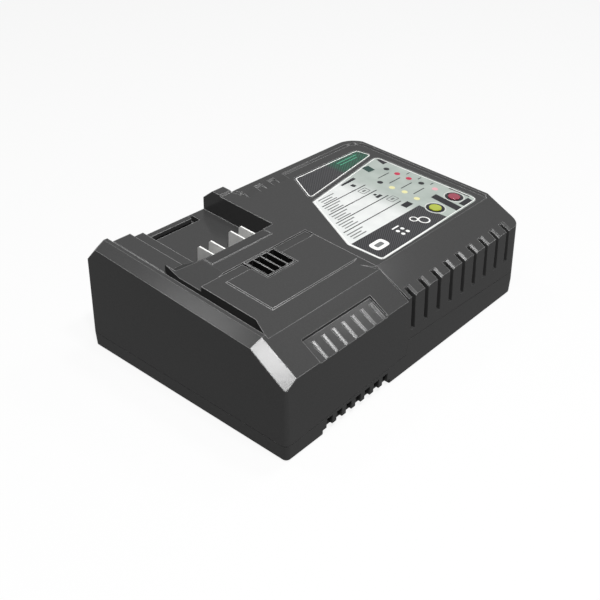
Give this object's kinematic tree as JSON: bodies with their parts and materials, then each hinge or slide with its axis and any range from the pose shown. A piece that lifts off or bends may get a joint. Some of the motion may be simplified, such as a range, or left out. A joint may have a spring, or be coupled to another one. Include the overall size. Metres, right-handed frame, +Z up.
{
  "type": "power tool battery charger",
  "caption": "Corded bench charger for slide-on tool batteries: open contact bay, fan-cooled deck grille, side vents and a sloping deck with two status lamps",
  "frame": {"origin": "centre of the charger's footprint, on the surface its rubber feet stand on", "axes": "+X towards the user's side, away from the open end of the battery bay; +Y from the front block back to the label deck; +Z up"},
  "size_m": [0.1334, 0.19, 0.0613],
  "materials": {
    "housing_plastic": "moulded glass-filled nylon, dark charcoal, fine spark texture",
    "terminal_plastic": "moulded dark grey insulating plastic",
    "grille_plastic": "moulded black plastic with polished rib edges",
    "foot_rubber": "soft black rubber",
    "screw_steel": "zinc plated steel",
    "contact_metal": "tin plated spring brass",
    "board_laminate": "green lacquered glass laminate",
    "fan_plastic": "black fan plastic",
    "copper_winding": "enamelled copper wire",
    "ferrite": "sintered dark grey ferrite",
    "bobbin_plastic": "cream bobbin plastic and tape",
    "capacitor_sleeve": "dark blue shrink sleeve",
    "capacitor_box": "yellow epoxy filled box",
    "component_epoxy": "black moulding epoxy",
    "fuse_glass": "glass tube",
    "sink_aluminium": "extruded aluminium",
    "header_plastic": "white connector plastic",
    "lead_insulation": "soft lead insulation",
    "ribbon_insulation": "grey flat ribbon",
    "inlet_plastic": "black appliance inlet plastic",
    "label_dark": "printed dark woven pattern film",
    "label_light": "printed pale film with a plain table",
    "red_window": "red clear acrylic",
    "green_window": "yellow-green clear acrylic",
    "lamp_epoxy": "clear lamp epoxy"
  },
  "bodies": {
    "housing": {"upper_housing": "housing_plastic", "lower_housing": "housing_plastic", "rubber_feet": "foot_rubber", "housing_screws": "screw_steel", "terminal_block": "terminal_plastic", "power_blades": "contact_metal", "signal_blades": "contact_metal", "contact_board": "board_laminate", "contact_screws": "screw_steel", "vent_grille": "grille_plastic", "air_duct": "fan_plastic", "fan_frame": "fan_plastic", "fan_coil": "copper_winding", "fan_screws": "screw_steel", "main_board": "board_laminate", "board_screws": "screw_steel", "transformer_core": "ferrite", "transformer_bobbin": "component_epoxy", "transformer_winding": "bobbin_plastic", "choke_core": "ferrite", "choke_windings": "copper_winding", "primary_capacitor": "capacitor_sleeve", "output_capacitors": "capacitor_sleeve", "safety_capacitor": "capacitor_box", "bridge_rectifier": "component_epoxy", "fuse": "fuse_glass", "fuse_clips": "contact_metal", "input_heat_sink": "sink_aluminium", "output_heat_sink": "sink_aluminium", "power_transistors": "component_epoxy", "output_diodes": "component_epoxy", "output_inductor": "copper_winding", "control_chip": "component_epoxy", "board_headers": "header_plastic", "battery_leads": "lead_insulation", "fan_lead": "lead_insulation", "mains_inlet": "inlet_plastic", "inlet_pins": "contact_metal", "mains_leads": "lead_insulation", "label_header": "label_dark", "label_panel": "label_light", "red_lens": "red_window", "green_lens": "green_window", "red_lamp": "lamp_epoxy", "green_lamp": "lamp_epoxy", "display_board": "board_laminate", "display_screws": "screw_steel", "ribbon_socket": "header_plastic", "display_ribbon": "ribbon_insulation"},
    "fan": {"fan_rotor": "fan_plastic"}
  },
  "joints": [
    {"name": "fan_spin", "type": "hinge", "parent": "housing", "child": "fan", "pos_m": [0.017, -0.0423, 0.025], "axis": [0, 0, 1], "continuous": true}
  ]
}
